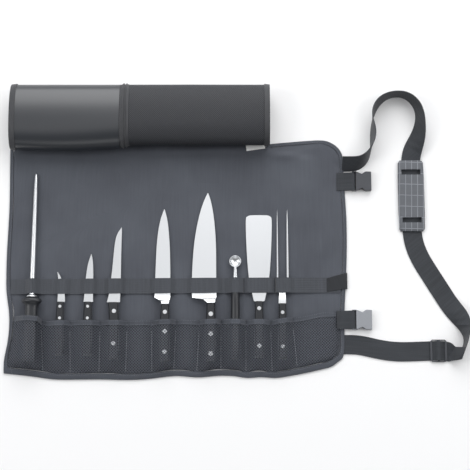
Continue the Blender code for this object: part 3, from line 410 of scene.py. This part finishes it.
# A net with a 4 mm mesh lies on the cloth: light strands crossing over dark holes. They run at 45 degrees,
# 3 mm apart, which makes meshes of about 4 mm from corner to corner
flap_net, tree, shader = new_finish("net_on_cloth", "#33363b", 0.50, Specular_IOR_Level=0.4)
place = add_node(tree, "TexCoord", {})
strand_pitch = 0.0030
strands = []
for turn in (45, -45):
    turned = add_node(tree, "Mapping", {"Rotation": (0, 0, radians(turn))}, {"Vector": place.outputs["UV"]})
    strands.append(add_node(tree, "TexWave", {"bands_direction": "X", "Scale": wave_repeat / strand_pitch},
                            {"Vector": turned.outputs["Vector"]}))
crossing = add_node(tree, "Math", {"operation": "MAXIMUM"}, {0: strands[0].outputs["Fac"],
                                                            1: strands[1].outputs["Fac"]})
mask = add_node(tree, "MapRange", {"From Min": 0.55, "From Max": 0.95}, {"Value": crossing.outputs["Value"]})
colour = add_node(tree, "Mix", {"data_type": "RGBA", 6: linear("#17181a"), 7: linear("#3d3f44")},
                  {0: mask.outputs["Result"]})
tree.links.new(colour.outputs[2], shader.inputs["Base Color"])
relief = add_node(tree, "Bump", {"Strength": 0.7, "Distance": 0.0005}, {"Height": mask.outputs["Result"]})
tree.links.new(relief.outputs["Normal"], shader.inputs["Normal"])

roll_axis = Vector((0, 0.2805, 0.0320))


def fill_out(shape, back, front, up):
    """Push a roll out a little on each side, by as much as smoothing draws it in."""
    for vertex in shape.verts:
        way = vertex.co - roll_axis
        way.x = 0
        away = way.normalized()
        vertex.co.y += max(away.y, 0) * back + min(away.y, 0) * front
        vertex.co.z += max(away.z, 0) * up


# The tape on the roll: nearly black, with a faint rib
roll_tape = cloth_finish("roll_binding_tape", "#36373a", "#424346", 0.0013, 0.6, 0.4)
# Piece, node, finish, slot, and the cloth's flat width and length
flap_parts = (
    ("flap_cloth", "flap_sheet", smooth_cloth, "smooth_cloth", (0.210, 0.455)),
    ("flap_netting", "flap_mesh_panel", flap_net, "net", (0.272, 0.437)),
    ("flap_rib_seam", "flap_seam", roll_tape, "tape", None),
    ("flap_end_tape_left", "flap_binding_left", roll_tape, "tape", None),
    ("flap_end_tape_right", "flap_binding_right", roll_tape, "tape", None),
)
for name, node, finish, slot, flat in flap_parts:
    shape = worn_copy(node)
    fill_out(shape, 0.0058, 0.0005, 0.0010)
    if node.startswith("flap_binding"):
        # The end tapes lap over the cloth by about 11 mm
        inward = 1 if node == "flap_binding_left" else -1
        inner_edge = max(inward * vertex.co.x for vertex in shape.verts)
        for vertex in shape.verts:
            if inward * vertex.co.x > inner_edge - 0.0005:
                vertex.tag = True
        for vertex in (item for item in shape.verts if item.tag):
            vertex.co.x += inward * 0.0030
            way = vertex.co - roll_axis
            way.x = 0
            vertex.co += way.normalized() * 0.0012
    if node == "flap_seam":
        # Distance from the left edge of the seam and height of its groove and ribs
        profile = ((0.0008, -0.0010), (0.0030, -0.0012), (0.0042, 0.0006), (0.0060, 0.0020), (0.0078, 0.0006),
                   (0.0088, -0.0006), (0.0104, 0.0006), (0.0124, 0.0020), (0.0144, 0.0006), (0.0165, -0.0006))
        left = min(vertex.co.x for vertex in shape.verts)
        for place, rise in profile:
            cut = bmesh.ops.bisect_plane(shape, geom=shape.verts[:] + shape.edges[:] + shape.faces[:],
                                         plane_co=(left + place, 0, 0), plane_no=(1, 0, 0))
            for vertex in (item for item in cut["geom_cut"] if isinstance(item, bmesh.types.BMVert)):
                way = vertex.co - roll_axis
                way.x = 0
                vertex.co += way.normalized() * rise
    for vertex in shape.verts:
        vertex.co.z = max(vertex.co.z, 0.0003)
    keep_sharp(shape, radians(80))
    lay_flat(shape, Vector((1, 0, 0)))
    piece = add_piece(name, shape, finish, [node], smooth=2)

# Care label: a short plain white satin tape, sewn in under the roll.
label_finish, tree, shader = new_finish("satin_label", "#f3f3f1", 0.5, Sheen_Weight=0.2)
# The close weave of satin is seen as a faint grain
add_grain(tree, shader, "#eeeeec", "#f8f8f6", 1800.0, 0.0001)
shape = worn_copy("care_label")
bmesh.ops.subdivide_edges(shape, edges=shape.edges, cuts=3, use_grid_fill=True)
# It sticks out of the seam this much further, and lies this much higher
label_out = 0.0045
label_up = 0.0022
bmesh.ops.translate(shape, verts=shape.verts, vec=(0, -label_out, label_up))
add_piece("label_tape", shape, label_finish, ["care_label"], bevel=0.0002)

# Pockets: one length of polyester net with a 4 mm mesh, hemmed with tape and sewn down between the
# handles, which show dimly through it.
pocket_nodes = ["pocket_%02d" % number for number in range(1, 13)]
net_thread, tree, shader = new_finish("polyester_net", "#696d76", 0.6, Specular_IOR_Level=0.3)
# Loose filaments in the strands break up their colour
add_grain(tree, shader, "#5d616a", "#757982", 1200.0, 0.0002)
# Drawn at 5.6 mm from corner to corner with strands of 1.25 mm, because the real net, of 4 mm, would blur
# away in the picture
mesh_pitch = 0.0056
strand_width = 0.00125
# Two corners of a grid that covers all the pockets
low = Vector((-0.332, -0.236, 0))
high = Vector((0.332, -0.108, 0))
across = round((high.x - low.x) / mesh_pitch)
along = round((high.y - low.y) / mesh_pitch)
shape = bmesh.new()
bmesh.ops.create_grid(shape, x_segments=across, y_segments=along, size=0.5)
bmesh.ops.scale(shape, verts=shape.verts, vec=(across * mesh_pitch, along * mesh_pitch, 1))
bmesh.ops.translate(shape, verts=shape.verts, vec=(low + high) / 2)
square_sides = list(shape.edges)
bmesh.ops.poke(shape, faces=shape.faces)
bmesh.ops.dissolve_edges(shape, edges=[edge for edge in square_sides if len(edge.link_faces) == 2])
cloth_top = surface(*pocket_nodes)
hem_band = surface("pocket_hem")
# The hem sags this far below the top of the pockets
hem_drop = 0.0085
# The net lies this deep in the cloth of the solid pockets, and this far over the handles
net_sink = 0.0009
handle_gap = 0.0012
# Just off the edge of the pockets, within this reach, the net takes its height from the nearest cloth
edge_height = 0.0045
edge_reach = 0.0013
off_cloth = []
for vertex in shape.verts:
    point = drop(cloth_top, vertex.co.x, vertex.co.y)
    if drop(hem_band, vertex.co.x, vertex.co.y):
        off_cloth.append(vertex)
        continue
    if not point:
        point, _, _, _ = cloth_top.find_nearest(Vector((vertex.co.x, vertex.co.y, edge_height)), edge_reach)
    if point:
        vertex.co.z = point.z - net_sink
    else:
        off_cloth.append(vertex)
bmesh.ops.delete(shape, geom=off_cloth, context="VERTS")
handle_nodes = [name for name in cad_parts
                if "_scale_top" in name or name in ("steel_handle", "baller_handle")]
handle_tops = surface(*handle_nodes)
for _ in range(4):
    bmesh.ops.smooth_vert(shape, verts=[v for v in shape.verts if not v.is_boundary], factor=0.5,
                          use_axis_x=False, use_axis_y=False, use_axis_z=True)
for vertex in shape.verts:
    under = drop(handle_tops, vertex.co.x, vertex.co.y)
    if under:
        vertex.co.z = max(vertex.co.z, under.z + handle_gap)
bmesh.ops.wireframe(shape, faces=shape.faces, thickness=strand_width, use_replace=True, use_boundary=True,
                    use_even_offset=False)
net = add_piece("pocket_net", shape, net_thread, pocket_nodes)

# Lines of pale thread that sew the net down between the pockets
divider_thread, tree, shader = new_finish("pale_sewing_thread", "#8d9198", 0.55)
# The twist shows as on the darker thread
add_grain(tree, shader, "#7f838a", "#9b9fa6", 1400.0, 0.0001)
divider_seams = bmesh.new()
# Each pocket's corners: top left, bottom left, top right and bottom right
ends = []
for node in pocket_nodes:
    corners = [vertex.co.copy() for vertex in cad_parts[node].data.vertices]
    ends.append([min(corners, key=lambda corner: sign_x * corner.x + sign_y * corner.y)
                 for sign_x, sign_y in ((1, -1), (1, 1), (-1, -1), (-1, 1))])
# Each seam starts below the hem and ends just short of the tape of the panel
hem_width = 0.012
seam_top_height = 0.0062
seam_foot_height = 0.0078
seam_short = 0.002
for left, right in zip(ends, ends[1:]):
    top = (left[2] + right[0]) / 2
    foot = (left[3] + right[1]) / 2
    top.y -= hem_drop + hem_width
    top.z = seam_top_height
    foot.z = seam_foot_height
    foot.y += seam_short
    sew(divider_seams, [top.lerp(foot, step / 10) for step in range(11)], pitch=0.0044, thickness=0.0013)
add_piece("pocket_divider_seams", divider_seams, divider_thread)

# Hem of the pockets: the binding tape again, folded over the edge of the net and sewn twice.
shape = worn_copy("pocket_hem")
bmesh.ops.translate(shape, verts=shape.verts, vec=(0, -hem_drop, 0))
lay_flat(shape, Vector((1, 0, 0)))
add_piece("pocket_hem_tape", shape, tape_cloth, ["pocket_hem"], bevel=0.0016)
hem = surface("pocket_hem")
for share in (0.16, 0.84):
    row = [between_edges(hem, Vector((-0.321 + step * 0.0036, -0.150, 0)), Vector((0, 1, 0)), 0.050, share)
           for step in range(178)]
    sew(seams, [point - Vector((0, hem_drop, 0)) for point in row if point])

# Elastic: 30 mm woven elastic with fine ribs across it, sewn down between the blades; its right end is
# folded into a tab of smooth cloth.
# Woven elastic: fine ribs along it and no shine
elastic_cloth = cloth_finish("woven_elastic", "#3f4247", "#494c52", 0.0016, 0.78, 0.7, rib=(1, 0.35))
shape = worn_copy("elastic_band")
bmesh.ops.subdivide_edges(shape, edges=[edge for edge in shape.edges
                                        if abs((edge.verts[0].co - edge.verts[1].co).normalized().x) > 0.7],
                          cuts=1, use_grid_fill=True)
for _ in range(2):
    bmesh.ops.smooth_vert(shape, verts=shape.verts, factor=0.5, use_axis_z=True)
# Smoothing lets it sink, so it is lifted clear of the blades again
elastic_lift = 0.0006
bmesh.ops.translate(shape, verts=shape.verts, vec=(0, 0, elastic_lift))
lay_flat(shape, Vector((1, 0, 0)))
band = add_piece("elastic_strip", shape, elastic_cloth, ["elastic_band"], bevel=0.0014)
shape = worn_copy("elastic_end_tab")
lay_flat(shape, Vector((1, 0, 0)))
# Grosgrain: close ribs, nearly black
tab_cloth = cloth_finish("dark_grosgrain", "#222427", "#2b2d31", 0.0016, 0.75, 0.5)
add_piece("elastic_tab", shape, tab_cloth, ["elastic_end_tab"], bevel=0.0005)

# Knives, fork and spatula: stainless steel ground across the blade, with a full tang between two scales of
# black moulded plastic and bright round rivets.
# Ground steel: bright, its highlights drawn out by fine scratches
steel, tree, shader = new_finish("ground_stainless_steel", "#e4e6e8", 0.30, Metallic=1.0)
place = add_node(tree, "TexCoord", {})
stretch = add_node(tree, "Mapping", {"Scale": (40.0, 2600.0, 40.0)}, {"Vector": place.outputs["Object"]})
scratches = add_node(tree, "TexNoise", {"Scale": 1.0, "Detail": 3.0}, {"Vector": stretch.outputs["Vector"]})
relief = add_node(tree, "Bump", {"Strength": 0.10, "Distance": 0.0001}, {"Height": scratches.outputs["Fac"]})
tree.links.new(relief.outputs["Normal"], shader.inputs["Normal"])

# Moulded plastic: black, with a fine grain that softens its highlights
handle_plastic, tree, shader = new_finish("black_moulded_plastic", "#232529", 0.38, Specular_IOR_Level=0.5)
place = add_node(tree, "TexCoord", {})
grain = add_node(tree, "TexNoise", {"Scale": 700.0, "Detail": 3.0}, {"Vector": place.outputs["Object"]})
relief = add_node(tree, "Bump", {"Strength": 0.15, "Distance": 0.0002}, {"Height": grain.outputs["Fac"]})
tree.links.new(relief.outputs["Normal"], shader.inputs["Normal"])

for tool in ("turning_knife", "paring_knife", "boning_knife", "slicing_knife", "chefs_knife", "spatula",
             "carving_fork"):
    shape = worn_copy(tool + "_blade")
    if tool == "carving_fork":
        # The tines are a little finer than the solid ones, from this line to their tips
        tines_from = -0.02
        finer = 0.0005
        shape.normal_update()
        for vertex in shape.verts:
            if vertex.co.y > tines_from:
                vertex.co -= vertex.normal * finer
    keep_sharp(shape, radians(28))
    add_piece(tool + "_steel", shape, steel, [tool + "_blade"], smooth=2)
    for side in ("top", "bottom"):
        shape = worn_copy(tool + "_scale_" + side)
        add_piece(tool + "_grip_" + side, shape, handle_plastic, [tool + "_scale_" + side],
                  bevel=0.0008)

# Sharpening steel and melon baller: turned steel in plain moulded grips.
# The last column is how much fuller a round piece is made, because smoothing draws it in
for name, node, finish, slot, fuller in (
        ("sharpening_rod", "steel_rod", steel, "steel", 0.0007),
        ("sharpening_grip", "steel_handle", handle_plastic, "grip", 0.0011),
        ("melon_scoop", "baller_scoop", steel, "steel", 0.0),
        ("melon_grip", "baller_handle", handle_plastic, "grip", 0.0012)):
    shape = worn_copy(node)
    shape.normal_update()
    for vertex in shape.verts:
        vertex.co += vertex.normal * fuller
    keep_sharp(shape, radians(70))
    add_piece(name, shape, finish, [node], smooth=2)

# Buckle sockets: moulded acetal on loops of black webbing, whose ends are sewn to the panel.
# Nylon webbing: coarse ribs and a slight shine
webbing = cloth_finish("nylon_webbing", "#2e3135", "#3a3d42", 0.0018, 0.72, 0.6, rib=(1, 0.5))
# The mould leaves a fine matt texture on the acetal, and on the lower socket's copy of it, which has a
# painted reflection
socket_plastic, tree, shader = new_finish("moulded_acetal", "#44464b", 0.34)
add_grain(tree, shader, "#404247", "#484a4f", 900.0, 0.0001)
# Painted reflection: the lower socket is the same dark acetal as the upper one, with its colour painted pale
# where it catches the lamp
reflection_painted_plastic, tree, shader = new_finish("moulded_acetal_painted_reflection", "#92959a", 0.34)
add_grain(tree, shader, "#8d9095", "#979a9f", 900.0, 0.0001)
for place_name in ("upper", "lower"):
    shape = worn_copy("buckle_webbing_" + place_name)
    keep_sharp(shape, radians(60))
    lay_flat(shape, Vector((0, 1, 0)))
    add_piece("loop_webbing_" + place_name, shape, webbing, ["buckle_webbing_" + place_name],
              smooth=2)
    shape = worn_copy("buckle_socket_" + place_name)
    # The lower socket takes the copy of the acetal with the painted reflection
    plastic = reflection_painted_plastic if place_name == "lower" else socket_plastic
    add_piece("socket_" + place_name, shape, plastic, ["buckle_socket_" + place_name],
              bevel=0.0006)

# Shoulder strap: 38 mm webbing that stands on edge where it turns, through a moulded slider, with a rubber
# pad that has a raised grid on it.
shape = worn_copy("shoulder_strap")
# Both ends, inside this line, are tucked this far under the tape of the panel
strap_root = 0.3385
tuck = 0.0048
for vertex in shape.verts:
    if vertex.co.x < strap_root:
        vertex.co.x -= tuck
keep_sharp(shape, radians(60))
lay_flat(shape, Vector((0, 1, 0)))
add_piece("strap_webbing", shape, webbing, ["shoulder_strap"], smooth=2)
shape = worn_copy("strap_slider")
add_piece("strap_frame", shape, socket_plastic, ["strap_slider"], bevel=0.0006)
# Moulded rubber: dull grey, paler on the tops of its raised lines
rubber, tree, shader = new_finish("moulded_rubber", "#64676c", 0.62, Specular_IOR_Level=0.35)
place = add_node(tree, "TexCoord", {})
# The raised lines start from the middle of the pad, and lean with it
centred = add_node(tree, "Mapping", {"vector_type": "TEXTURE", "Location": (0.4715, 0.1270, 0),
                                     "Rotation": (0, 0, radians(-1.5))}, {"Vector": place.outputs["Object"]})
parts = add_node(tree, "SeparateXYZ", {}, {0: centred.outputs["Vector"]})
lines = []
for axis, spacing, half_width in (("X", 0.0120, 0.00075), ("Y", 0.0226, 0.00075), ("Y", 0.0024, 0.0004)):
    near = add_node(tree, "Math", {"operation": "PINGPONG", 1: spacing / 2}, {0: parts.outputs[axis]})
    lines.append(add_node(tree, "MapRange", {"From Min": half_width * 1.5, "From Max": half_width * 0.5},
                          {"Value": near.outputs["Value"]}))
grid = add_node(tree, "Math", {"operation": "MAXIMUM"}, {0: lines[0].outputs["Result"],
                                                        1: lines[1].outputs["Result"]})
ribs = add_node(tree, "Math", {"operation": "MULTIPLY", 1: 0.25}, {0: lines[2].outputs["Result"]})
relief_height = add_node(tree, "Math", {"operation": "MAXIMUM"}, {0: grid.outputs["Value"],
                                                                 1: ribs.outputs["Value"]})
colour = add_node(tree, "Mix", {"data_type": "RGBA", 6: linear("#5c5f64"), 7: linear("#8b8e94")},
                  {0: relief_height.outputs["Value"]})
tree.links.new(colour.outputs[2], shader.inputs["Base Color"])
relief = add_node(tree, "Bump", {"Strength": 0.8, "Distance": 0.0008},
                  {"Height": relief_height.outputs["Value"]})
tree.links.new(relief.outputs["Normal"], shader.inputs["Normal"])
shape = worn_copy("shoulder_pad")
add_piece("strap_pad", shape, rubber, ["shoulder_pad"], bevel=0.0008)

# Every row of the darker thread, on the tape and on the hem, is one piece
add_piece("sewn_seams", seams, thread_finish)
